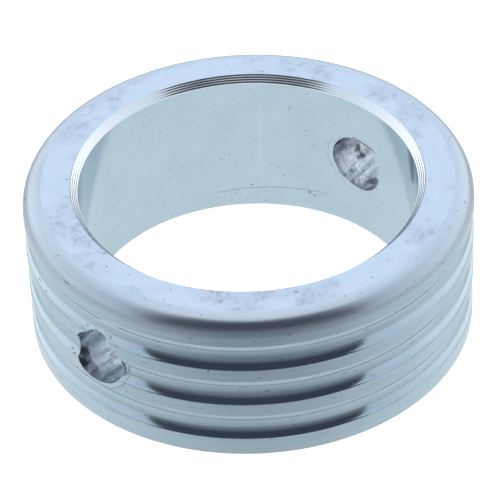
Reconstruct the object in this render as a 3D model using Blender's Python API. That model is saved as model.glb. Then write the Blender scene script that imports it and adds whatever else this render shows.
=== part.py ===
"""Shaft collar: a one-piece turned steel ring with three round-bottomed grooves round its outside and one plain
cross hole drilled straight through both walls, for a pin or a bolt.

Metres, +Z up. The origin is the centre of the bottom face. +Z runs along the bore, and the cross hole along X.
"""

from math import cos, pi, radians, sin

import bmesh
import bpy
from mathutils import Matrix, Vector

MM = 0.001

# Driving dimensions.
OUTER_RADIUS = 30.0 * MM
BORE_RADIUS = 22.6 * MM
WIDTH = 22.2 * MM
BORE_CHAMFER = 0.95 * MM  # 45 degrees, at the top face
BORE_EDGE_BREAK = 0.2 * MM  # at the bottom face
TOP_CORNER_RADIUS = 2.6 * MM
BOTTOM_CORNER_RADIUS = 0.5 * MM

GROOVE_COUNT = 3
GROOVE_WIDTH = 3.75 * MM
GROOVE_PITCH = 5.8 * MM
MIDDLE_GROOVE_HEIGHT = 10.6 * MM
GROOVE_HALF_ANGLE = radians(55.0)  # from the bottom of the groove's arc to its sharp edge

CROSS_HOLE_RADIUS = 4.2 * MM
CROSS_HOLE_HEIGHT = WIDTH / 2

# How finely the round shapes are divided.
RING_STEPS = 96
GROOVE_STEPS = 6
TOP_CORNER_STEPS = 6
BOTTOM_CORNER_STEPS = 3
HOLE_STEPS = 48
CUTTER_OVERRUN = 3.0 * MM
SMOOTH_BELOW = radians(28.0)

# Bright zinc plate on steel.
PLATE_COLOUR = (0.62, 0.68, 0.72, 1.0)
PLATE_ROUGHNESS = 0.3


def clear_scene():
    for old in list(bpy.data.objects):
        bpy.data.objects.remove(old)


def arc(centre, radius, start, end, steps):
    """Points (radius from the axis, height) along an arc, both ends included."""
    points = []
    for step in range(steps + 1):
        angle = start + (end - start) * step / steps
        points.append((centre[0] + radius * cos(angle), centre[1] + radius * sin(angle)))
    return points


def groove_points(height):
    """One groove's arc, from its upper edge down to its lower edge, both on the outer surface."""
    radius = GROOVE_WIDTH / 2 / sin(GROOVE_HALF_ANGLE)
    centre = (OUTER_RADIUS + radius * cos(GROOVE_HALF_ANGLE), height)
    return arc(centre, radius, pi - GROOVE_HALF_ANGLE, pi + GROOVE_HALF_ANGLE, GROOVE_STEPS)


def turned_profile():
    """The ring's cross-section, from the top of the bore outwards, down the outside and back up the bore."""
    points = [(BORE_RADIUS, WIDTH - BORE_CHAMFER), (BORE_RADIUS + BORE_CHAMFER, WIDTH)]
    top_centre = (OUTER_RADIUS - TOP_CORNER_RADIUS, WIDTH - TOP_CORNER_RADIUS)
    points += arc(top_centre, TOP_CORNER_RADIUS, pi / 2, 0.0, TOP_CORNER_STEPS)
    for index in range(GROOVE_COUNT):
        steps_above_middle = (GROOVE_COUNT - 1) / 2 - index
        points += groove_points(MIDDLE_GROOVE_HEIGHT + steps_above_middle * GROOVE_PITCH)
    bottom_centre = (OUTER_RADIUS - BOTTOM_CORNER_RADIUS, BOTTOM_CORNER_RADIUS)
    points += arc(bottom_centre, BOTTOM_CORNER_RADIUS, 0.0, -pi / 2, BOTTOM_CORNER_STEPS)
    points += [(BORE_RADIUS + BORE_EDGE_BREAK, 0.0), (BORE_RADIUS, BORE_EDGE_BREAK)]
    return points


def turned_mesh(name):
    """The cross-section turned once round Z."""
    shape = bmesh.new()
    loop = [shape.verts.new((radius, 0.0, height)) for radius, height in turned_profile()]
    edges = [shape.edges.new((a, b)) for a, b in zip(loop, loop[1:] + loop[:1])]
    bmesh.ops.spin(
        shape,
        geom=loop + edges,
        cent=Vector((0.0, 0.0, 0.0)),
        axis=Vector((0.0, 0.0, 1.0)),
        angle=2 * pi,
        steps=RING_STEPS,
        use_merge=True,
    )
    bmesh.ops.recalc_face_normals(shape, faces=shape.faces)
    mesh = bpy.data.meshes.new(name)
    shape.to_mesh(mesh)
    shape.free()
    return mesh


def add_object(name, mesh):
    made = bpy.data.objects.new(name, mesh)
    bpy.context.scene.collection.objects.link(made)
    return made


def add_hole_cutter():
    """A cylinder along X, longer than the ring is wide, so that one pass drills both walls."""
    shape = bmesh.new()
    bmesh.ops.create_cone(
        shape,
        cap_ends=True,
        segments=HOLE_STEPS,
        radius1=CROSS_HOLE_RADIUS,
        radius2=CROSS_HOLE_RADIUS,
        depth=2 * (OUTER_RADIUS + CUTTER_OVERRUN),
        matrix=Matrix.Rotation(pi / 2, 4, "Y"),
    )
    mesh = bpy.data.meshes.new("cross_hole_cutter")
    shape.to_mesh(mesh)
    shape.free()
    cutter = add_object("cross_hole_cutter", mesh)
    cutter.location.z = CROSS_HOLE_HEIGHT
    cutter.hide_render = True
    cutter.display_type = "WIRE"
    return cutter


def drill(target, cutter):
    """Cuts the hole for good, so that the new edges can be marked sharp."""
    cut = target.modifiers.new("cross_hole", "BOOLEAN")
    cut.operation = "DIFFERENCE"
    cut.solver = "EXACT"
    cut.object = cutter
    graph = bpy.context.evaluated_depsgraph_get()
    mesh = bpy.data.meshes.new_from_object(target.evaluated_get(graph))
    target.modifiers.clear()
    target.data = mesh


def zinc_plate():
    material = bpy.data.materials.new("bright_zinc_plate")
    material.use_nodes = True
    surface = material.node_tree.nodes["Principled BSDF"]
    surface.inputs["Base Color"].default_value = PLATE_COLOUR
    surface.inputs["Metallic"].default_value = 1.0
    surface.inputs["Roughness"].default_value = PLATE_ROUGHNESS
    return material


def add_collar_ring():
    ring = add_object("collar_ring", turned_mesh("collar_ring"))
    drill(ring, add_hole_cutter())
    ring.data.name = "collar_ring"
    ring.data.materials.clear()
    ring.data.materials.append(zinc_plate())
    ring.data.shade_smooth()
    ring.data.set_sharp_from_angle(angle=SMOOTH_BELOW)


clear_scene()
add_collar_ring()
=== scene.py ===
"""The looks of the shaft collar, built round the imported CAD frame.

The collar is one piece of turned steel. Its visible mesh is the CAD cross-section turned finely, with the
feed marks of the chamfer, softened groove edges, a rough drilled cross hole and the burrs round its rims.
The finishes are bright zinc plate on the turned surfaces and bare drilled steel inside the cross hole.
"""

from functools import reduce
from math import cos, pi, radians, sin, sqrt, tan

import bmesh
import bpy
import numpy as np
from mathutils import Matrix, Vector, noise


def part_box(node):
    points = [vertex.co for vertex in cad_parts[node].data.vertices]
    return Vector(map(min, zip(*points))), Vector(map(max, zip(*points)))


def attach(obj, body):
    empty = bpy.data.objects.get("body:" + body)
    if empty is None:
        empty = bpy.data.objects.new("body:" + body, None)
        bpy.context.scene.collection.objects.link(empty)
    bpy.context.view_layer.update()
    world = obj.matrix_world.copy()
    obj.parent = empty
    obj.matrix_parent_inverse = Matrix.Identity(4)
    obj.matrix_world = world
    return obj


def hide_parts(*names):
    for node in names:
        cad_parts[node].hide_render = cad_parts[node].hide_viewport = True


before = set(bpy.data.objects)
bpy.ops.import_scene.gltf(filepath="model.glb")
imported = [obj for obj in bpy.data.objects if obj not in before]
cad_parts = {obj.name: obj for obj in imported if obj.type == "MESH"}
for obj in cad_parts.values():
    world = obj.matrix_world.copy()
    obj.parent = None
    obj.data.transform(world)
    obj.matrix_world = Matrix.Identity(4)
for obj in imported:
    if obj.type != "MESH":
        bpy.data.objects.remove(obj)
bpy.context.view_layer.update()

MM = 0.001
NODE = "collar_ring"
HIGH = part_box(NODE)[1]

# Sizes of the ring. The outside and the width come from the frame, the rest are the CAD model's own.
OUTER = HIGH.x
WIDTH = HIGH.z
BORE = 22.6 * MM
CHAMFER = 0.95 * MM
BORE_BREAK = 0.2 * MM
TOP_CORNER = 2.6 * MM
BOTTOM_CORNER = 0.5 * MM
GROOVE_COUNT = 3
GROOVE_WIDTH = 3.75 * MM
GROOVE_PITCH = 5.8 * MM
MIDDLE_GROOVE = 10.6 * MM
GROOVE_HALF_ANGLE = radians(55.0)
HOLE_RADIUS = 4.2 * MM
HOLE_HEIGHT = WIDTH / 2

# How finely the shapes are divided.
TOP_CORNER_STEPS = 20
BOTTOM_CORNER_STEPS = 6
GROOVE_STEPS = 18
LAND_STEPS = 5
LAST_LAND_STEPS = 6
FACE_STEPS = 8
BORE_STEPS = 34
FEED_MARK_STEPS = 9
COLUMN = radians(1.5)
FINE_COLUMN = radians(0.35)  # across the two ends of the cross hole
FINE_REACH = radians(12.0)
HOLE_STEPS = 120
HOLE_STATIONS = 60
BURR_LOOP_STEPS = 16
BURR_SLIVER_STEPS = 14
BURR_SIDES = 6
SHARP_FROM = radians(35.0)

# Fine detail of the turning.
EDGE_SOFTENING = 0.16 * MM
EDGE_SUPPORT = 0.6 * EDGE_SOFTENING
FEED_MARKS = 4
FEED_MARK_DEPTH = 0.025 * MM

# The drilled wall. Its rings, smears and tears are shares of HOLE_ROUGHNESS, and their run is in millimetres.
HOLE_ROUGHNESS = 0.05 * MM
DRILL_RINGS = 0.04
DRILL_RING_PITCH = 0.45
DRILL_RING_WOBBLE = 2.0
DRILL_RING_TWIST = 0.4
SMEARS = 1.2
TEARS = {-1: 0.15, 1: 0.5}  # at the hole's -X end and at its +X end
CUTTER_OVERRUN = 2 * MM  # past the outside
CUTTER_GAP = 1 * MM  # inside the bore's wall

# Metal smeared into the hole at its -X end. Angles round the hole run from +Y up to +Z.
SMEAR_DEPTH = 1.6 * MM
SMEAR_ALL_ROUND = 0.08 * MM
SMEAR_ON_TOP = 0.46 * MM
SMEAR_ANGLE = radians(50.0)
SMEAR_SHARPNESS = 3
RIM_DUG = 0.55 * MM  # where the rim is cut back instead
RIM_DUG_ANGLE = radians(-46.0)
RIM_DUG_SHARPNESS = 8

# The small uneven lips round both rims, and a shallow crescent pressed into the bore at the hole's +X end.
RIM_LIP = 0.10 * MM
RIM_LIP_REACH = 0.45 * MM
RIM_LIP_MEAN = 0.55
RIM_LIP_WAVES = ((0.3, 3, 1.0), (0.25, 7, 2.0))  # share of the lip, waves round the hole and phase
RIM_LIP_FALL = 2.0
RIM_LIP_IN_BORE = 0.7
RIM_ZONE = 3 * RIM_LIP_REACH
OUTER_ZONE = 1.4 * MM  # how far in from the outside the outer rim's lip reaches, past the grooves' depth
INNER_ZONE = 0.5 * MM  # how far out from the bore the inner rim's lip reaches
ZONE_FADE = 0.5 * MM
HOLE_ENDS_FROM = 0.8 * BORE  # only points beyond this X are at an end of the hole
CRESCENT_DEPTH = 0.28 * MM
CRESCENT_REACH = 0.85 * MM
CRESCENT_ANGLE = radians(-35.0)
CRESCENT_SHARPNESS = 1.5
BOX_MARGIN = 0.01 * MM  # the lips stay this far inside the ring's box

# Burrs: one loop on the outside at the -X end, and one sliver in the bore at the +X end. Angles in degrees.
BURR_THICKNESS = 0.08 * MM
BURR_LOOP = (160.0, 204.0)
BURR_LOOP_BULGE = 0.5 * MM
BURR_LOOP_INSET = 0.15 * MM
BURR_LOOP_SUNK = 0.2 * MM
BURR_SLIVER = (78.0, 132.0)
BURR_SLIVER_TIP = 0.75 * MM
BURR_SLIVER_INSET = 0.03 * MM
BURR_SLIVER_RAISED = 0.05 * MM
BURR_SLIVER_TAPER = (1.2, 0.3)  # shares of BURR_THICKNESS at its root and at its tip

# The camera.
VIEW_AZIMUTH = -47.3
VIEW_ELEVATION = 38.88
VIEW_ROLL = -2.29
VIEW_DISTANCE = 406.5 * MM
FOCAL_LENGTH = 217.0
SENSOR = 36.0
TARGET_RIGHT = -0.06 * MM
TARGET_UP = -1.19 * MM
CLIP_START = 0.01
CLIP_END = 20.0

UP = Vector((0.0, 0.0, 1.0))


def towards(azimuth, elevation):
    a = radians(azimuth)
    e = radians(elevation)
    return Vector((sin(a) * cos(e), -cos(a) * cos(e), sin(e)))


FRONT = towards(VIEW_AZIMUTH, 0.0)
RIGHT = UP.cross(FRONT)


def add_camera():
    """A long lens at the viewing angle, turned a little about its own axis."""
    data = bpy.data.cameras.new("camera")
    data.sensor_width = SENSOR
    data.lens = FOCAL_LENGTH
    data.clip_start = CLIP_START
    data.clip_end = CLIP_END
    camera = add_object("camera", data)
    back = towards(VIEW_AZIMUTH, VIEW_ELEVATION)
    target = UP * (WIDTH / 2 + TARGET_UP) + RIGHT * TARGET_RIGHT
    up = (UP - back * back.z).normalized()
    side = up.cross(back)
    turn = radians(VIEW_ROLL)
    x_axis = side * cos(turn) + up * sin(turn)
    y_axis = up * cos(turn) - side * sin(turn)
    place = target + back * VIEW_DISTANCE
    rows = [tuple(row) for row in zip(x_axis, y_axis, back, place)]
    camera.matrix_world = Matrix(rows + [(0.0, 0.0, 0.0, 1.0)])
    bpy.context.scene.camera = camera


def add_object(name, data):
    made = bpy.data.objects.new(name, data)
    bpy.context.scene.collection.objects.link(made)
    return made


# ---------------------------------------------------------------- the turned shape

def arc(centre, radius, start, end, steps):
    """Points (radius from the axis, height) along an arc, both ends included."""
    angles = [start + (end - start) * step / steps for step in range(steps + 1)]
    return [(centre[0] + radius * cos(angle), centre[1] + radius * sin(angle)) for angle in angles]


def line(start, end, steps):
    """Points along a straight run, its two ends left out."""
    across = end[0] - start[0]
    rise = end[1] - start[1]
    shares = [step / steps for step in range(1, steps)]
    return [(start[0] + across * share, start[1] + rise * share) for share in shares]


def softened(points, corner_indexes):
    """Rounds each sharp corner with three points, so that it catches light as a worn edge does.

    A supporting point on each side keeps the shading of the flat runs flat.
    """
    out = []
    for index, point in enumerate(points):
        if index not in corner_indexes:
            out.append(point)
            continue
        here = Vector(point)
        before = Vector(points[index - 1])
        after = Vector(points[(index + 1) % len(points)])
        into = (here - before).normalized()
        away = (after - here).normalized()
        turn = into.angle(away)
        cut = EDGE_SOFTENING * tan(turn / 2)
        first = here - into * cut
        last = here + away * cut
        middle = here + (away - into).normalized() * EDGE_SOFTENING * (1 / cos(turn / 2) - 1)
        out += [tuple(first - into * EDGE_SUPPORT), tuple(first), tuple(middle)]
        out += [tuple(last), tuple(last + away * EDGE_SUPPORT)]
    return out


def groove_heights():
    """The heights of the grooves' middles, from the top down."""
    return [MIDDLE_GROOVE + ((GROOVE_COUNT - 1) / 2 - index) * GROOVE_PITCH for index in range(GROOVE_COUNT)]


def outside_profile():
    """From the start of the top corner, down the lands and grooves, to the flat bottom face."""
    top_centre = (OUTER - TOP_CORNER, WIDTH - TOP_CORNER)
    points = arc(top_centre, TOP_CORNER, pi / 2, 0.0, TOP_CORNER_STEPS)
    corners = []
    radius = GROOVE_WIDTH / 2 / sin(GROOVE_HALF_ANGLE)
    for height in groove_heights():
        centre = (OUTER + radius * cos(GROOVE_HALF_ANGLE), height)
        upper_edge = (OUTER, height + GROOVE_WIDTH / 2)
        points += line(points[-1], upper_edge, LAND_STEPS)
        corners.append(len(points))
        points += arc(centre, radius, pi - GROOVE_HALF_ANGLE, pi + GROOVE_HALF_ANGLE, GROOVE_STEPS)
        corners.append(len(points) - 1)
    points += line(points[-1], (OUTER, BOTTOM_CORNER), LAST_LAND_STEPS)
    bottom_centre = (OUTER - BOTTOM_CORNER, BOTTOM_CORNER)
    points += arc(bottom_centre, BOTTOM_CORNER, 0.0, -pi / 2, BOTTOM_CORNER_STEPS)
    return softened(points, corners)


def chamfer_profile():
    """Up the chamfer from the bore to the top face, scalloped by the nose of the turning tool."""
    steps = FEED_MARK_STEPS * FEED_MARKS
    points = []
    for step in range(steps + 1):
        share = step / steps
        phase = (share * FEED_MARKS) % 1.0
        depth = FEED_MARK_DEPTH * (1 - (2 * phase - 1) ** 2)
        along = share * CHAMFER
        points.append((BORE + along + depth / sqrt(2), WIDTH - CHAMFER + along - depth / sqrt(2)))
    return points


def ring_profile():
    """The closed cross-section with the finish of each run: a list of (radius, height, finish)."""
    chamfer = chamfer_profile()
    outside = outside_profile()
    bottom_inner = (BORE + BORE_BREAK, 0.0)
    bore_start = (BORE, BORE_BREAK)
    runs = (
        ("chamfer", chamfer[:-1]),
        ("top", [chamfer[-1]] + line(chamfer[-1], outside[0], FACE_STEPS)),
        ("outside", outside[:-1]),
        ("bottom", [outside[-1]] + line(outside[-1], bottom_inner, FACE_STEPS)),
        ("bore", [bottom_inner, bore_start] + line(bore_start, chamfer[0], BORE_STEPS)),
    )
    return [(radius, height, finish) for finish, points in runs for radius, height in points]


def column_angles():
    """Angles round the ring, closer together across the two ends of the cross hole."""
    angles = []
    angle = 0.0
    while angle < 2 * pi - 1e-6:
        angles.append(angle)
        from_hole = abs((angle + pi / 2) % pi - pi / 2)
        angle += FINE_COLUMN if from_hole < FINE_REACH else COLUMN
    return np.array(angles) * (2 * pi / angle)


FINISHES = ("top", "outside", "chamfer", "bore", "bottom", "hole")


def turned_mesh():
    """The cross-section turned round Z, each face with its finish."""
    profile = ring_profile()
    radius = np.array([point[0] for point in profile])
    height = np.array([point[1] for point in profile])
    finish = np.array([FINISHES.index(point[2]) for point in profile])
    angles = column_angles()
    rows, columns = len(profile), len(angles)
    points = np.empty((columns, rows, 3))
    points[:, :, 0] = np.cos(angles)[:, None] * radius
    points[:, :, 1] = np.sin(angles)[:, None] * radius
    points[:, :, 2] = height
    here = np.arange(columns * rows).reshape(columns, rows)
    beside = np.roll(here, -1, axis=0)
    quads = np.stack([here, np.roll(here, -1, axis=1), np.roll(beside, -1, axis=1), beside], -1)
    mesh = bpy.data.meshes.new("collar")
    mesh.from_pydata(points.reshape(-1, 3).tolist(), [], quads.reshape(-1, 4).tolist())
    mesh.polygons.foreach_set("material_index", np.tile(finish, columns))
    return mesh


# ---------------------------------------------------------------- the cross hole

def wall_noise(x, angle, along, around, offset=0.0):
    """A smooth random value on the drilled wall. along and around say how quickly it changes."""
    return noise.noise(Vector((x / MM * along, around * cos(angle) + offset, around * sin(angle))))


def lobe(angle, centre, sharpness):
    """1 at an angle round the hole, falling to 0 on both sides of it."""
    return max(0.0, cos(angle - centre)) ** sharpness


def drilled_radius(x, angle):
    """The drilled wall's distance from the hole's axis: rings left by the drill, smears and torn patches."""
    wobble = DRILL_RING_WOBBLE * sin(angle + DRILL_RING_TWIST * (x / MM))
    rings = DRILL_RINGS * sin((x / MM) * 2 * pi / DRILL_RING_PITCH + wobble)
    smears = SMEARS * wall_noise(x, angle, along=0.3, around=1.9)
    tears = TEARS[1 if x > 0 else -1] * wall_noise(x, angle, along=0.9, around=5.0, offset=3.0)
    near_rim = max(0.0, 1.0 - (OUTER + x) / SMEAR_DEPTH) if x < 0 else 0.0
    on_top = SMEAR_ON_TOP * lobe(angle, SMEAR_ANGLE, SMEAR_SHARPNESS)
    dug = RIM_DUG * lobe(angle, RIM_DUG_ANGLE, RIM_DUG_SHARPNESS)
    over_rim = near_rim * (SMEAR_ALL_ROUND + on_top - dug)
    return HOLE_RADIUS + HOLE_ROUGHNESS * (rings + smears + tears) - over_rim


def hole_cutter():
    """A rough cylinder along X that drills both walls at once. Its own finish goes on what it cuts."""
    near = np.linspace(BORE - CUTTER_GAP, OUTER + CUTTER_OVERRUN, HOLE_STATIONS)
    stations = np.concatenate([-near[::-1], near])
    points = []
    for x in stations:
        for step in range(HOLE_STEPS):
            angle = 2 * pi * step / HOLE_STEPS
            radius = drilled_radius(x, angle)
            points.append((x, radius * cos(angle), HOLE_HEIGHT + radius * sin(angle)))
    faces = []
    for row in range(len(stations) - 1):
        for step in range(HOLE_STEPS):
            a = row * HOLE_STEPS + step
            b = row * HOLE_STEPS + (step + 1) % HOLE_STEPS
            faces.append((a, b, b + HOLE_STEPS, a + HOLE_STEPS))
    faces.append(tuple(range(HOLE_STEPS))[::-1])
    faces.append(tuple(range(len(points) - HOLE_STEPS, len(points))))
    mesh = bpy.data.meshes.new("cutter")
    mesh.from_pydata(points, [], faces)
    mesh.polygons.foreach_set("material_index", [FINISHES.index("hole")] * len(faces))
    return mesh


def with_boolean(target, cutter):
    """The target's mesh with the cutter's shape taken away."""
    cut = target.modifiers.new("cross_hole", "BOOLEAN")
    cut.operation = "DIFFERENCE"
    cut.solver = "MANIFOLD"
    cut.object = cutter
    graph = bpy.context.evaluated_depsgraph_get()
    mesh = bpy.data.meshes.new_from_object(target.evaluated_get(graph))
    target.modifiers.clear()
    return mesh


def raise_rims(mesh):
    """Works the metal round the hole's rims: uneven lips all round, and a crescent pressed into the bore."""
    points = np.empty(len(mesh.vertices) * 3)
    mesh.vertices.foreach_get("co", points)
    points = points.reshape(-1, 3)
    x, y, z = points[:, 0], points[:, 1], points[:, 2] - HOLE_HEIGHT
    radius = np.hypot(x, y)
    from_rim = np.hypot(y, z) - HOLE_RADIUS
    angle = np.arctan2(z, y)
    outer = np.clip((radius - (OUTER - OUTER_ZONE)) / ZONE_FADE, 0.0, 1.0)
    inner = np.clip(((BORE + INNER_ZONE) - radius) / ZONE_FADE, 0.0, 1.0)
    uneven = RIM_LIP_MEAN
    for share, waves, phase in RIM_LIP_WAVES:
        uneven = uneven + share * np.sin(waves * angle + phase)
    reaches = np.clip(from_rim / RIM_LIP_REACH, -1.0, 4.0)
    lip = RIM_LIP * uneven * np.exp(-RIM_LIP_FALL * reaches ** 2)
    crescent = np.clip(1.0 - from_rim / CRESCENT_REACH, 0.0, 1.0) ** CRESCENT_SHARPNESS
    facing = np.clip(np.cos(angle - CRESCENT_ANGLE), 0.0, 1.0) ** CRESCENT_SHARPNESS
    crescent *= CRESCENT_DEPTH * facing
    push = lip * (outer - RIM_LIP_IN_BORE * inner) + np.where(x > 0, crescent * inner, 0.0)
    near = (from_rim < RIM_ZONE) & (np.abs(x) > HOLE_ENDS_FROM)
    room = np.maximum(OUTER - BOX_MARGIN - radius, 0.0)
    push = np.where(near, np.minimum(push, room), 0.0)
    points[:, 0] += push * x / radius
    points[:, 1] += push * y / radius
    mesh.vertices.foreach_set("co", points.ravel())
    mesh.update()


def on_ring(side, ring_radius, from_axis, angle):
    """A point on a cylinder round the bore, at an angle and a distance from the hole's axis.

    side is -1 or 1, for the hole's -X or +X end. The angle is in degrees.
    """
    y = from_axis * cos(radians(angle))
    z = HOLE_HEIGHT + from_axis * sin(radians(angle))
    return Vector((side * sqrt(ring_radius * ring_radius - y * y), y, z))


def burr_loop():
    """The centre line and thickness of the loop of torn metal on the outside."""
    start, end = BURR_LOOP
    for step in range(BURR_LOOP_STEPS + 1):
        share = step / BURR_LOOP_STEPS
        away = HOLE_RADIUS - BURR_LOOP_INSET + BURR_LOOP_BULGE * sin(pi * share)
        yield on_ring(-1, OUTER - BURR_LOOP_SUNK, away, start + (end - start) * share), BURR_THICKNESS


def burr_sliver():
    """The centre line and thickness of the torn sliver in the bore. It leaves the rim and thins to a tip."""
    start, end = BURR_SLIVER
    root, tip = BURR_SLIVER_TAPER
    for step in range(BURR_SLIVER_STEPS + 1):
        share = step / BURR_SLIVER_STEPS
        away = HOLE_RADIUS - BURR_SLIVER_INSET + BURR_SLIVER_TIP * share ** 3
        thickness = BURR_THICKNESS * (root + (tip - root) * share)
        yield on_ring(1, BORE - BURR_SLIVER_RAISED, away, start + (end - start) * share), thickness


def add_tube(shape, line_points):
    """A closed thin tube along the given points."""
    line_points = list(line_points)
    rings = []
    for index, (centre, thickness) in enumerate(line_points):
        before = line_points[max(index - 1, 0)][0]
        after = line_points[min(index + 1, len(line_points) - 1)][0]
        run = (after - before).normalized()
        across = run.cross(Vector((1.0, 0.0, 0.0))).normalized()
        up = run.cross(across)
        ring = []
        for side in range(BURR_SIDES):
            turn = 2 * pi * side / BURR_SIDES
            ring.append(shape.verts.new(centre + (across * cos(turn) + up * sin(turn)) * thickness))
        rings.append(ring)
    for first, second in zip(rings, rings[1:]):
        for side in range(BURR_SIDES):
            following = (side + 1) % BURR_SIDES
            shape.faces.new((first[side], first[following], second[following], second[side]))
    shape.faces.new(rings[0][::-1])
    shape.faces.new(rings[-1])


def add_burrs(mesh):
    """Adds the torn metal at the hole's rims to the collar's own mesh."""
    shape = bmesh.new()
    add_tube(shape, burr_loop())
    add_tube(shape, burr_sliver())
    bmesh.ops.recalc_face_normals(shape, faces=shape.faces)
    for face in shape.faces:
        face.material_index = FINISHES.index("hole")
    shape.from_mesh(mesh)
    shape.to_mesh(mesh)
    shape.free()


def add_collar(materials):
    """The visible collar, in place of the CAD ring."""
    collar = add_object("collar", turned_mesh())
    cutter = add_object("cutter", hole_cutter())
    for material in materials:
        collar.data.materials.append(material)
        cutter.data.materials.append(material)
    mesh = with_boolean(collar, cutter)
    bpy.data.objects.remove(cutter)
    collar.data = mesh
    raise_rims(mesh)
    add_burrs(mesh)
    mesh.shade_smooth()
    mesh.set_sharp_from_angle(angle=SHARP_FROM)
    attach(collar, "root")
    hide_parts(NODE)


# ---------------------------------------------------------------- node trees

class Nodes:
    """Short calls for building a node tree. A value is a number or another node's output."""

    def __init__(self, tree):
        self.tree = tree

    def add(self, kind, **settings):
        node = self.tree.nodes.new(kind)
        for key, value in settings.items():
            setattr(node, key, value)
        return node

    def join(self, source, target):
        self.tree.links.new(source, target)

    def put(self, value, socket):
        if isinstance(value, bpy.types.NodeSocket):
            self.join(value, socket)
        else:
            socket.default_value = value

    def maths(self, operation, *values, clamp=False):
        node = self.add("ShaderNodeMath", operation=operation, use_clamp=clamp)
        for value, socket in zip(values, node.inputs):
            self.put(value, socket)
        return node.outputs[0]

    def times(self, first, second):
        return self.maths("MULTIPLY", first, second)

    def minus(self, first, second):
        return self.maths("SUBTRACT", first, second)

    def scaled(self, value, by, plus):
        return self.maths("MULTIPLY_ADD", value, by, plus)

    def total(self, base, *terms):
        """The base, plus each term's value times its weight."""
        for value, weight in terms:
            base = self.scaled(value, weight, base)
        return base

    def greatest(self, values):
        return reduce(lambda first, second: self.maths("MAXIMUM", first, second), values)

    def length(self, first, second):
        """The length of the vector with these two parts."""
        return self.maths("SQRT", self.scaled(second, second, self.times(first, first)))

    def reach(self, x, y, direction):
        """How far (x, y) lies along a level direction."""
        return self.scaled(x, direction.x, self.times(y, direction.y))

    def split(self, vector):
        node = self.add("ShaderNodeSeparateXYZ")
        self.join(vector, node.inputs[0])
        return node.outputs

    def vector(self, x, y, z):
        node = self.add("ShaderNodeCombineXYZ")
        for value, socket in zip((x, y, z), node.inputs):
            self.put(value, socket)
        return node.outputs[0]

    def vector_maths(self, operation, vector, other):
        node = self.add("ShaderNodeVectorMath", operation=operation)
        self.join(vector, node.inputs[0])
        self.put(other, node.inputs["Scale" if operation == "SCALE" else 1])
        return node.outputs["Value" if operation == "DISTANCE" else "Vector"]

    def noise(self, point, scale, detail=2.0, roughness=0.5):
        """A cloudy value, mostly from 0.3 to 0.7."""
        node = self.add("ShaderNodeTexNoise")
        self.join(point, node.inputs["Vector"])
        node.inputs["Scale"].default_value = scale
        node.inputs["Detail"].default_value = detail
        node.inputs["Roughness"].default_value = roughness
        return node.outputs[0]

    def ramp(self, value, low, high, start=0.0, end=1.0, kind="SMOOTHSTEP"):
        """Goes from start to end while the value goes from low to high."""
        node = self.add("ShaderNodeMapRange", interpolation_type=kind)
        for source, socket in zip((value, low, high, start, end), node.inputs):
            self.put(source, socket)
        return node.outputs[0]

    def fall(self, value, low, high):
        """Goes from 1 to 0 while the value goes from low to high."""
        return self.ramp(value, low, high, 1.0, 0.0)

    def mix(self, share, first, second):
        node = self.add("ShaderNodeMix", data_type="RGBA")
        self.put(share, node.inputs[0])
        self.put(first, node.inputs[6])
        self.put(second, node.inputs[7])
        return node.outputs[2]

    def painted(self, colour, paint, mask, strength):
        """The colour with some paint laid over it where the mask is."""
        return self.mix(self.times(mask, strength), colour, paint)

    def tinted(self, colour, tone):
        """The colour made lighter or darker by a factor."""
        return self.vector_maths("SCALE", colour, tone)


# ---------------------------------------------------------------- finishes

# Noise scales and lengths in the finishes are for millimetres.
CLOUD_RANGE = (0.35, 0.65)  # the part of a cloudy noise over which one colour gives way to another
SPECK_EDGE = 0.05
PIT = (0.13, 0.15, 0.18, 1.0)
# A pale colour for scuffs, also laid on the grooves' upper flanks as a painted highlight.
SCUFF_AND_HIGHLIGHT = (0.84, 0.88, 0.90, 1.0)
HOLE_MIDDLE = HOLE_HEIGHT / MM
HOLE_EDGE = HOLE_RADIUS / MM


class Place:
    """Where a point lies on the ring, in millimetres: the point itself, and its x, y and height."""

    def __init__(self, n):
        coordinates = n.add("ShaderNodeTexCoord").outputs["Object"]
        self.point = n.vector_maths("SCALE", coordinates, 1 / MM)
        self.x, self.y, self.z = n.split(self.point)


def new_material(name):
    material = bpy.data.materials.new(name)
    material.use_nodes = True
    return material, Nodes(material.node_tree)


def metal(n, colour, roughness, height, bump_depth, metallic=1.0):
    """Completes a metal material. height, from 0 to 1, is bumped to bump_depth."""
    surface = n.tree.nodes["Principled BSDF"]
    n.put(metallic, surface.inputs["Metallic"])
    n.put(colour, surface.inputs["Base Color"])
    n.put(roughness, surface.inputs["Roughness"])
    bump = n.add("ShaderNodeBump")
    bump.inputs["Distance"].default_value = bump_depth
    n.join(height, bump.inputs["Height"])
    n.join(bump.outputs[0], surface.inputs["Normal"])


def turned_lines(n, place, across, along, per_mm, detail=2.0):
    """Fine irregular lines that run round the ring, one after another along the given coordinate."""
    vector = n.vector(n.times(place.x, along), n.times(place.y, along), n.times(across, per_mm))
    return n.noise(vector, scale=1.0, detail=detail, roughness=0.6)


def specks(n, place, scale, rarity):
    """Small dark pits here and there: 1 in a pit and 0 elsewhere."""
    return n.ramp(n.noise(place.point, scale), rarity, rarity + SPECK_EDGE)


def from_hole(n, place):
    """The height above the cross hole's axis, and the distance from that axis."""
    upwards = n.minus(place.z, HOLE_MIDDLE)
    return upwards, n.length(place.y, upwards)


def towards_side(n, place, upwards, angle):
    """How far a point lies towards an angle round the cross hole, from +Y up to +Z."""
    return n.scaled(upwards, sin(angle), n.times(place.y, cos(angle)))


RIM_DIRT_REACH = (0.1, 1.3)
RIM_DIRT_RANGE = (0.62, 0.68)


def rim_dirt(n, place):
    """Dark crumbs close round the cross hole."""
    near, far = RIM_DIRT_REACH
    close = n.fall(from_hole(n, place)[1], HOLE_EDGE + near, HOLE_EDGE + far)
    return n.times(close, n.ramp(n.noise(place.point, scale=2.4), *RIM_DIRT_RANGE))


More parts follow.
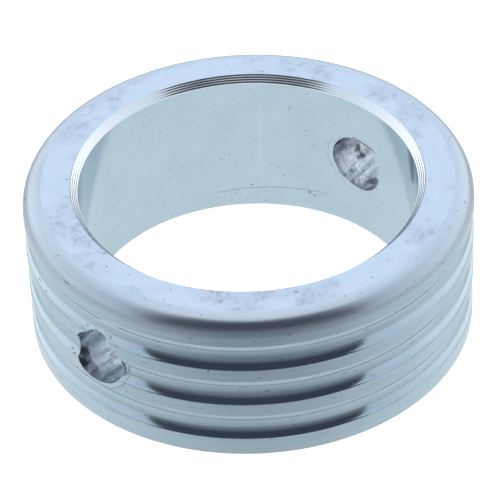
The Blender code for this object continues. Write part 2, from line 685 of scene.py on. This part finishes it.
OUTER_LIP = (-1, radians(-108.0))  # the end of the hole, and the angle round it
INNER_LIP = (1, radians(-25.0))
LIP_WIDTH = 0.7
LIP_FACING = (0.2, 0.7)
LIP_EDGE = 0.12
LIP_LINE = (0.02, 0.12)


def rolled_lip(n, place, side, angle):
    """Metal rolled over a part of the rim at one end of the hole: a pale crescent, and the line round it."""
    upwards, from_axis = from_hole(n, place)
    facing = n.maths("DIVIDE", towards_side(n, place, upwards, angle), n.maths("MAXIMUM", from_axis, 0.1))
    near = n.times(n.ramp(facing, *LIP_FACING), n.ramp(n.times(place.x, side), 0.0, 1.0))
    uneven = n.scaled(n.noise(place.point, scale=0.6), by=0.8, plus=0.6)
    reach = n.times(n.times(near, LIP_WIDTH), uneven)
    inside = n.minus(n.maths("ADD", reach, HOLE_EDGE), from_axis)
    lip = n.times(n.ramp(inside, 0.0, LIP_EDGE), near)
    outline = n.times(n.fall(n.maths("ABSOLUTE", inside), *LIP_LINE), near)
    return lip, outline


PLATE_BLUE = (0.565, 0.665, 0.775, 1.0)
PLATE_LAVENDER = (0.605, 0.675, 0.80, 1.0)
PLATE_GREY = (0.30, 0.33, 0.38, 1.0)
SMUDGES_ON_TOP = (0.44, 0.62)  # the noise range over which clusters of smudges set in
SMUDGES_BELOW = (0.52, 0.70)
SMUDGE_MARKS = (0.44, 0.70)
SMUDGE_HAZE = 0.18  # how dark a cluster is between its marks
SMUDGE_OFFSET = (3.1, 7.4, 0.0)


def smudges(n, place, clusters):
    """Clusters of rubbed, dirty marks: 0 on clean metal, up to 1 in a mark."""
    moved = n.vector_maths("ADD", place.point, SMUDGE_OFFSET)
    where = n.ramp(n.noise(moved, scale=0.12, detail=3.0, roughness=0.6), *clusters)
    marks = n.ramp(n.noise(place.point, scale=0.75, detail=7.0, roughness=0.75), *SMUDGE_MARKS)
    return n.times(where, n.scaled(marks, 1.0 - SMUDGE_HAZE, SMUDGE_HAZE))


def face_finish(name, clusters):
    """The flat end faces: bluish plate with grey smudges, dark specks and faint turned circles."""
    material, n = new_material(name)
    place = Place(n)
    clouds = n.noise(place.point, scale=0.22, detail=3.0, roughness=0.55)
    circles = turned_lines(n, place, n.length(place.x, place.y), along=0.12, per_mm=5.0)
    grain = n.noise(place.point, scale=4.5, detail=4.0, roughness=0.7)
    dirt = smudges(n, place, clusters)
    pits = specks(n, place, scale=1.5, rarity=0.715)
    colour = n.mix(n.ramp(clouds, *CLOUD_RANGE), PLATE_BLUE, PLATE_LAVENDER)
    colour = n.tinted(colour, n.total(0.87, (circles, 0.10), (grain, 0.16)))
    colour = n.painted(colour, PLATE_GREY, dirt, strength=0.70)
    colour = n.painted(colour, PIT, pits, strength=0.7)
    roughness = n.total(0.20, (clouds, 0.12), (dirt, 0.15))
    height = n.total(0.0, (circles, 0.5), (grain, 0.5), (pits, -0.6))
    metal(n, colour, roughness, height, bump_depth=0.006 * MM)
    return material


WALL_PLATE = (0.53, 0.675, 0.74, 1.0)
WALL_PLATE_PALE = (0.565, 0.69, 0.78, 1.0)
CORNER_PLATE = (0.545, 0.63, 0.715, 1.0)
DEPOSIT = (0.46, 0.56, 0.60, 1.0)
DEPOSIT_METALLIC = 0.2
CORNER_SHARE = 0.4  # of the top corner's radius, above which the whole corner has its own plate
# Heights over a groove's middle where a mark starts, where it is full, where it fades and where it is gone.
FLANK = (0.7, 1.2, 1.85, 1.95)
DULL_LIP = (0.55, 0.85, 1.95, 2.05)
LOWER_EDGE_LINE = (0.04, 0.10)
SCUFF_AND_HIGHLIGHT_RANGE = (0.46, 0.66)
LOWER_EDGE_RANGE = (0.4, 0.65, 0.02, 0.28)  # noise from and to, strength from and to
DASH_RANGE = (0.735, 0.77, 0.0, 0.9)


def groove_marks(n, place):
    """Each groove's upper flank, pale with scuffs and a painted highlight, its dull deposit, and a dark line
    on its lower edge.

    Each is 1 in the mark and 0 elsewhere.
    """
    flanks, lips, edges = [], [], []
    for height in groove_heights():
        above = n.minus(place.z, height / MM)
        for (start, full, ending, gone), found in ((FLANK, flanks), (DULL_LIP, lips)):
            found.append(n.times(n.ramp(above, start, full), n.fall(above, ending, gone)))
        from_edge = n.maths("ABSOLUTE", n.maths("ADD", above, GROOVE_WIDTH / 2 / MM))
        edges.append(n.fall(from_edge, *LOWER_EDGE_LINE))
    return n.greatest(flanks), n.greatest(lips), n.greatest(edges)


def outside_finish():
    """The grooved outside: bright plate with lines that run round it, specks, and scuffs with a painted
    highlight in the grooves.
    """
    material, n = new_material("plate_outside")
    place = Place(n)
    fine = turned_lines(n, place, place.z, along=0.10, per_mm=7.5)
    broad = turned_lines(n, place, place.z, along=0.045, per_mm=1.9, detail=3.0)
    dashes = n.ramp(turned_lines(n, place, place.z, along=0.5, per_mm=2.6, detail=1.0), *DASH_RANGE)
    clouds = n.noise(place.point, scale=0.16, detail=4.0, roughness=0.6)
    grain = n.noise(place.point, scale=5.0, detail=3.0, roughness=0.65)
    corner = n.ramp(place.z, (WIDTH - TOP_CORNER) / MM, (WIDTH - CORNER_SHARE * TOP_CORNER) / MM)
    flanks, lips, edges = groove_marks(n, place)
    broken = n.ramp(n.noise(place.point, scale=0.5, detail=4.0, roughness=0.65), *SCUFF_AND_HIGHLIGHT_RANGE)
    patchy = n.ramp(n.noise(place.point, scale=0.2), *LOWER_EDGE_RANGE)
    lip, outline = rolled_lip(n, place, *OUTER_LIP)
    pits = n.greatest((specks(n, place, scale=1.7, rarity=0.71), rim_dirt(n, place), dashes))
    colour = n.mix(n.ramp(clouds, *CLOUD_RANGE), WALL_PLATE, WALL_PLATE_PALE)
    colour = n.mix(corner, colour, CORNER_PLATE)
    colour = n.tinted(colour, n.total(0.74, (fine, 0.17), (broad, 0.22), (grain, 0.10)))
    # Each groove's upper flank is painted pale: partly scuffs, partly a painted highlight along the edge.
    colour = n.painted(colour, SCUFF_AND_HIGHLIGHT, flanks, strength=n.scaled(broken, by=0.55, plus=0.25))
    colour = n.mix(lips, colour, DEPOSIT)
    # A patchy dark line along each groove's lower edge.
    colour = n.painted(colour, PIT, edges, strength=patchy)
    colour = n.painted(colour, SCUFF_AND_HIGHLIGHT, lip, strength=0.2)
    colour = n.painted(colour, PIT, outline, strength=0.45)
    colour = n.painted(colour, PIT, pits, strength=0.7)
    roughness = n.total(0.06, (broad, 0.10), (flanks, 0.30), (lips, 0.4), (corner, 0.18))
    height = n.total(0.0, (fine, 0.6), (grain, 0.4), (pits, -0.6))
    metallic = n.scaled(lips, DEPOSIT_METALLIC - 1.0, 1.0)
    metal(n, colour, roughness, height, bump_depth=0.004 * MM, metallic=metallic)
    return material


# The chamfer's plate is painted much paler than the same plate elsewhere: painted light.
LIT_CHAMFER_PLATE = (0.86, 0.93, 0.98, 1.0)
LIT_CHAMFER_PLATE_PALE = (0.92, 0.97, 1.0, 1.0)


def chamfer_finish():
    """The chamfer: plate painted brighter than elsewhere as painted light, and smooth; its feed marks are in
    the mesh.
    """
    material, n = new_material("plate_chamfer")
    place = Place(n)
    clouds = n.noise(place.point, scale=0.4, detail=4.0, roughness=0.6)
    grain = n.noise(place.point, scale=5.0, detail=3.0, roughness=0.65)
    # These pale plate colours are painted light.
    colour = n.mix(clouds, LIT_CHAMFER_PLATE, LIT_CHAMFER_PLATE_PALE)
    colour = n.tinted(colour, n.total(0.9, (grain, 0.16)))
    roughness = n.total(0.12, (grain, 0.12))
    metal(n, colour, roughness, grain, bump_depth=0.002 * MM)
    return material


BORE_PLATE = (0.601, 0.687, 0.74, 1.0)
BORE_PLATE_PALE = (0.643, 0.713, 0.78, 1.0)
SCRATCH_FROM = (-14.0, 2.7)  # degrees from straight behind the bore's axis, and height
SCRATCH_TO = (32.0, 3.8)
SCRATCH_FADE_IN = 5.0
SCRATCH_FADE_OUT = 6.0
SCRATCH_LINE = (0.028, 0.098)
SCRATCH_WANDER = 0.5
PALE_STREAK = (5.0, 1.6)  # a faint upright streak: degrees, and half its width
DENTS = ((24.6, 2.8, 0.25), (22.7, 3.2, 0.30), (1.5, 3.6, 0.18))  # degrees, height and radius
DENT_EDGE = (0.6, 1.3)


def behind_degrees(n, place):
    """The angle round the bore from straight behind its axis, growing to the right as seen from the front."""
    right = n.reach(place.x, place.y, RIGHT)
    behind = n.reach(place.x, place.y, -FRONT)
    return n.maths("DEGREES", n.maths("ARCTAN2", right, behind))


def scratch(n, place, degrees):
    """One long hairline scratch, low in the bore."""
    slope = (SCRATCH_TO[1] - SCRATCH_FROM[1]) / (SCRATCH_TO[0] - SCRATCH_FROM[0])
    line_height = n.scaled(n.minus(degrees, SCRATCH_FROM[0]), slope, SCRATCH_FROM[1])
    wander = n.noise(place.point, scale=0.25, detail=1.0)
    wander = n.times(n.minus(wander, 0.5), SCRATCH_WANDER)
    off = n.maths("ABSOLUTE", n.minus(n.minus(place.z, wander), line_height))
    start = n.ramp(degrees, SCRATCH_FROM[0], SCRATCH_FROM[0] + SCRATCH_FADE_IN)
    end = n.fall(degrees, SCRATCH_TO[0] - SCRATCH_FADE_OUT, SCRATCH_TO[0])
    return n.times(n.fall(off, *SCRATCH_LINE), n.times(start, end))


def dents(n, place, degrees):
    """A few small round dents."""
    found = []
    for angle, height, size in DENTS:
        sideways = n.times(n.minus(degrees, angle), radians(1.0) * BORE / MM)
        away = n.length(sideways, n.minus(place.z, height))
        found.append(n.fall(away, size * DENT_EDGE[0], size * DENT_EDGE[1]))
    return n.greatest(found)


def bore_finish():
    """The bore: satin plate with very fine feed marks, specks, one hairline scratch and a few dents."""
    material, n = new_material("plate_bore")
    place = Place(n)
    degrees = behind_degrees(n, place)
    feed = turned_lines(n, place, place.z, along=0.25, per_mm=8.0)
    clouds = n.noise(place.point, scale=0.2, detail=4.0, roughness=0.6)
    grain = n.noise(place.point, scale=4.0, detail=4.0, roughness=0.75)
    streak_at, streak_width = PALE_STREAK
    streak = n.fall(n.maths("ABSOLUTE", n.minus(degrees, streak_at)), 0.0, streak_width)
    lip, outline = rolled_lip(n, place, *INNER_LIP)
    large_pits = specks(n, place, scale=1.9, rarity=0.695)
    small_pits = specks(n, place, scale=3.6, rarity=0.70)
    pits = n.greatest((large_pits, rim_dirt(n, place), small_pits))
    marks = n.greatest((scratch(n, place, degrees), dents(n, place, degrees)))
    colour = n.mix(n.ramp(clouds, *CLOUD_RANGE), BORE_PLATE, BORE_PLATE_PALE)
    colour = n.tinted(colour, n.total(0.80, (feed, 0.08), (grain, 0.30), (streak, 0.035)))
    colour = n.painted(colour, SCUFF_AND_HIGHLIGHT, lip, strength=0.09)
    colour = n.painted(colour, PIT, outline, strength=0.22)
    colour = n.painted(colour, PIT, pits, strength=0.5)
    colour = n.painted(colour, PIT, marks, strength=0.46)
    roughness = n.total(0.09, (grain, 0.10))
    height = n.total(0.0, (feed, 0.5), (grain, 0.5), (n.greatest((pits, marks)), -1.0))
    metal(n, colour, roughness, height, bump_depth=0.004 * MM)
    return material


BARE_LIGHT = (0.70, 0.765, 0.84, 1.0)
BARE_DULL = (0.42, 0.47, 0.51, 1.0)
BARE_DARK = (0.08, 0.09, 0.10, 1.0)
SMEAR_STRETCH = 0.2  # how slowly the smears change along the hole
SMEAR_RANGE = (0.40, 0.56)
STREAK_RANGE = (0.42, 0.56, 1.0, 0.45)
TORN_RANGE = (-1.0, 1.0, 0.3, 1.0)  # x from and to, and how torn the wall is there
SHADED_SIDE = radians(37.0)  # the angle round the hole, from +Y up to +Z, where the drilled wall is darkest
SHADED_FROM = (1.7, 2.2)  # per unit of tornness, and with none
SHADED_FULL = 4.4
SHADED_BY_SMEARS = 3.0
TEAR_PITCH = 0.03
TEAR_LINE = 0.006
TEAR_PATCHES = (0.45, 0.55)
# Patches of painted shade on the drilled wall and over the burrs: x, y, z and size.
SHADE_PATCHES = (
    (-28.6, 3.7, 9.2, 0.9),
    (-29.7, 3.2, 7.8, 0.9),
    (-29.6, -4.5, 11.5, 1.2),
    (27.3, 3.8, 9.3, 0.6),
    (27.3, 3.2, 8.35, 0.6),
    (24.9, -0.7, 6.9, 1.1),
    (23.0, 3.7, 13.2, 0.8),
    (22.2, -1.6, 15.3, 1.9),
)
SHADE_PATCH_EDGE = (0.4, 1.3)


def painted_shade_patches(n, place):
    """How much of a point lies in one of the patches of painted shade, which have ragged edges."""
    ragged = n.noise(place.point, scale=1.3, detail=2.0, roughness=0.6)
    uneven = n.scaled(ragged, by=2.6, plus=-0.3)
    found = []
    for x, y, z, size in SHADE_PATCHES:
        away = n.times(n.vector_maths("DISTANCE", place.point, (x, y, z)), uneven)
        found.append(n.fall(away, size * SHADE_PATCH_EDGE[0], size * SHADE_PATCH_EDGE[1]))
    return n.greatest(found)


def shaded_side(n, place, smears, torn):
    """The darker upper side of the drilled wall, broken up by the smears."""
    side = towards_side(n, place, n.minus(place.z, HOLE_MIDDLE), SHADED_SIDE)
    shade = n.ramp(n.scaled(smears, SHADED_BY_SMEARS, side), n.scaled(torn, *SHADED_FROM), SHADED_FULL)
    shade = n.times(shade, n.scaled(torn, by=-0.5, plus=1.0))
    return n.times(shade, n.ramp(smears, *STREAK_RANGE))


def hole_finish():
    """The drilled wall: bare smeared steel with fine tears, and painted shade on its upper side and in a few
    patches.
    """
    material, n = new_material("bare_hole")
    place = Place(n)
    stretched = n.vector(n.times(place.x, SMEAR_STRETCH), place.y, place.z)
    smears = n.noise(stretched, scale=0.9, detail=3.0, roughness=0.6)
    swirls = n.noise(place.point, scale=0.5)
    grain = n.noise(place.point, scale=4.5, detail=4.0, roughness=0.8)
    torn = n.ramp(place.x, *TORN_RANGE)
    tears = n.fall(n.maths("PINGPONG", swirls, TEAR_PITCH), 0.0, TEAR_LINE)
    tears = n.times(tears, n.ramp(n.noise(place.point, scale=0.7, detail=1.0), *TEAR_PATCHES))
    colour = n.mix(n.ramp(smears, *SMEAR_RANGE), BARE_DULL, BARE_LIGHT)
    colour = n.painted(colour, BARE_DARK, shaded_side(n, place, smears, torn), strength=0.85)
    colour = n.painted(colour, BARE_DARK, n.times(tears, torn), strength=0.6)
    # Patches of painted shade, darkest in their middles.
    colour = n.painted(colour, BARE_DARK, painted_shade_patches(n, place), strength=0.92)
    colour = n.tinted(colour, n.total(0.75, (grain, 0.5)))
    roughness = n.total(0.14, (swirls, 0.3))
    height = n.total(n.times(swirls, torn), (tears, -0.05), (grain, 0.07))
    metal(n, colour, roughness, height, bump_depth=0.35 * MM)
    return material


def finishes():
    """One material for each name in FINISHES, in that order."""
    return [
        face_finish("plate_top", SMUDGES_ON_TOP),
        outside_finish(),
        chamfer_finish(),
        bore_finish(),
        face_finish("plate_bottom", SMUDGES_BELOW),
        hole_finish(),
    ]


# ---------------------------------------------------------------- floor and light

WHITE = (1.0, 1.0, 1.0, 1.0)

# The light tent, in directions seen from the object: azimuth in degrees from the open front, elevation above
# the floor. Its front is an opening, wider and darker at the top. Its walls grow brighter towards the sides.
OPENING_HALF_WIDTH = 52.0
OPENING_SPREAD = 9.0
OPENING_SPREAD_TOP = 60.0
OPENING_TOP = 71.0
OPENING_EDGE = 3.0
OPENING_LOW = (0.21, 0.235, 0.262, 1.0)
OPENING_HIGH = (0.053, 0.063, 0.082, 1.0)
OPENING_DARKENS = (0.0, 32.0)
WALL_BESIDE_OPENING = (0.60, 0.62, 0.68, 1.0)
WALL_AT_SIDE = (1.18, 1.19, 1.22, 1.0)
WALL_BRIGHTENS = (50.0, 130.0)
WALL_BEHIND = (0.98, 1.07, 1.17, 1.0)
BEHIND_SETS_IN = (140.0, 172.0)
HIGH_WALL_IN_FRONT = (0.58, 0.645, 0.73, 1.0)
HIGH_WALL_BRIGHTENS = (55.0, 150.0)
HIGH_WALL_SETS_IN = (15.0, 40.0)
ROOF = (1.0, 1.03, 1.06, 1.0)
ROOF_SETS_IN = (50.0, 78.0)


def opening_mask(n, azimuth, elevation):
    """1 in the tent's opening and 0 on its walls."""
    spread = n.ramp(elevation, 0.0, OPENING_SPREAD_TOP, kind="LINEAR")
    half_width = n.scaled(n.times(spread, spread), OPENING_SPREAD, OPENING_HALF_WIDTH)
    wide = n.fall(n.minus(azimuth, half_width), -OPENING_EDGE / 2, OPENING_EDGE / 2)
    return n.times(wide, n.fall(elevation, OPENING_TOP - OPENING_EDGE, OPENING_TOP + OPENING_EDGE))


def add_world():
    """The light tent, which the camera itself sees as plain white."""
    world = bpy.data.worlds.new("light_tent")
    bpy.context.scene.world = world
    world.use_nodes = True
    tree = world.node_tree
    n = Nodes(tree)
    turn = n.add("ShaderNodeVectorRotate", rotation_type="Z_AXIS")
    n.join(n.add("ShaderNodeTexCoord").outputs["Generated"], turn.inputs["Vector"])
    turn.inputs["Angle"].default_value = -radians(VIEW_AZIMUTH)
    across, away, up = n.split(turn.outputs[0])
    azimuth = n.maths("ARCTAN2", across, n.times(away, -1.0))
    azimuth = n.maths("ABSOLUTE", n.maths("DEGREES", azimuth))
    elevation = n.maths("DEGREES", n.maths("ARCSINE", up))
    walls = n.mix(n.ramp(azimuth, *WALL_BRIGHTENS, kind="LINEAR"), WALL_BESIDE_OPENING, WALL_AT_SIDE)
    walls = n.mix(n.ramp(azimuth, *BEHIND_SETS_IN), walls, WALL_BEHIND)
    high_share = n.ramp(azimuth, *HIGH_WALL_BRIGHTENS, kind="LINEAR")
    high_walls = n.mix(high_share, HIGH_WALL_IN_FRONT, WALL_BEHIND)
    walls = n.mix(n.ramp(elevation, *HIGH_WALL_SETS_IN), walls, high_walls)
    tent = n.mix(n.ramp(elevation, *ROOF_SETS_IN), walls, ROOF)
    opening = n.mix(n.ramp(elevation, *OPENING_DARKENS), OPENING_LOW, OPENING_HIGH)
    light = n.mix(opening_mask(n, azimuth, elevation), tent, opening)
    camera_ray = n.add("ShaderNodeLightPath").outputs["Is Camera Ray"]
    n.join(n.mix(camera_ray, light, WHITE), tree.nodes["Background"].inputs["Color"])


# The floor. Directions on it are cosines from the open front: 1 in front of the ring and -1 behind it.
FLOOR_SIZE = 3.0
FLOOR_GLOW = 0.85
PAPER = (0.9, 0.9, 0.9, 1.0)
PAPER_ROUGHNESS = 0.9
# What the metal mirrors of the floor, from here to FLOOR_INSIDE, is painted light and shade.
FLOOR_FRONT_FADE = 24 * MM  # how quickly the mirrored floor darkens away from the ring, towards the opening
FLOOR_FRONT_NEAR = (0.57, 0.60, 0.615, 1.0)
FLOOR_FRONT_FAR = OPENING_LOW
FLOOR_FRONT_RANGE = (-0.1, 1.0)
FLOOR_FRONT_POWER = 1.4
FLOOR_CORNER_GLOW = (0.17, 0.17, 0.18)  # added near the ring, between its front and its sides
FLOOR_CORNER_RANGE = (0.1, 1.0)
FLOOR_SIDE = (0.765, 0.795, 0.825, 1.0)
FLOOR_BEHIND = (0.58, 0.61, 0.64, 1.0)
FLOOR_SIDE_RANGE = (-0.95, -0.1)
FLOOR_INSIDE = (0.727, 0.837, 0.88, 1.0)


def painted_floor_reflection(n):
    """The floor's painted reflection, in painted light and shade: bright at the sides and in the bore, darker
    towards the front.
    """
    x, y, _ = n.split(n.add("ShaderNodeNewGeometry").outputs["Position"])
    away = n.length(x, y)
    facing = n.maths("DIVIDE", n.reach(x, y, FRONT), n.maths("MAXIMUM", away, 1e-6))
    share = n.maths("POWER", n.ramp(facing, *FLOOR_FRONT_RANGE, kind="LINEAR"), FLOOR_FRONT_POWER)
    beyond = n.maths("DIVIDE", n.minus(away, OUTER), FLOOR_FRONT_FADE)
    near = n.maths("EXPONENT", n.times(beyond, -1.0), clamp=True)
    front = n.mix(near, FLOOR_FRONT_FAR, FLOOR_FRONT_NEAR)
    rest = n.mix(n.ramp(facing, *FLOOR_SIDE_RANGE), FLOOR_BEHIND, FLOOR_SIDE)
    turned = n.ramp(facing, *FLOOR_CORNER_RANGE, kind="LINEAR")
    between = n.times(turned, n.minus(4.0, n.times(turned, 4.0)))  # 1 halfway, 0 at both ends
    glow = n.add("ShaderNodeVectorMath", operation="MULTIPLY_ADD")
    n.join(n.times(near, between), glow.inputs[0])
    glow.inputs[1].default_value = FLOOR_CORNER_GLOW
    n.join(n.mix(share, rest, front), glow.inputs[2])
    return n.mix(n.fall(away, BORE, OUTER), glow.outputs[0], FLOOR_INSIDE)


def floor_material():
    """White paper, which the metal mirrors as painted light and shade instead of its own white."""
    material, n = new_material("floor_paper")
    paper = n.tree.nodes["Principled BSDF"]
    paper.inputs["Base Color"].default_value = PAPER
    paper.inputs["Roughness"].default_value = PAPER_ROUGHNESS
    paper.inputs["Specular IOR Level"].default_value = 0.0
    paper.inputs["Emission Color"].default_value = WHITE
    paper.inputs["Emission Strength"].default_value = FLOOR_GLOW
    painted_reflection = n.add("ShaderNodeEmission")
    n.join(painted_floor_reflection(n), painted_reflection.inputs["Color"])
    # Glossy rays see the floor's painted light and shade instead of the paper.
    choose = n.add("ShaderNodeMixShader")
    n.join(n.add("ShaderNodeLightPath").outputs["Is Glossy Ray"], choose.inputs[0])
    n.join(paper.outputs[0], choose.inputs[1])
    n.join(painted_reflection.outputs[0], choose.inputs[2])
    n.join(choose.outputs[0], n.tree.nodes["Material Output"].inputs["Surface"])
    return material


def add_floor():
    """A plain white floor."""
    mesh = bpy.data.meshes.new("floor")
    h = FLOOR_SIZE / 2
    mesh.from_pydata([(-h, -h, 0.0), (h, -h, 0.0), (h, h, 0.0), (-h, h, 0.0)], [], [(0, 1, 2, 3)])
    mesh.materials.append(floor_material())
    floor = add_object("floor", mesh)


bpy.context.scene.view_settings.view_transform = "Standard"
add_camera()
add_world()
add_floor()
add_collar(finishes())
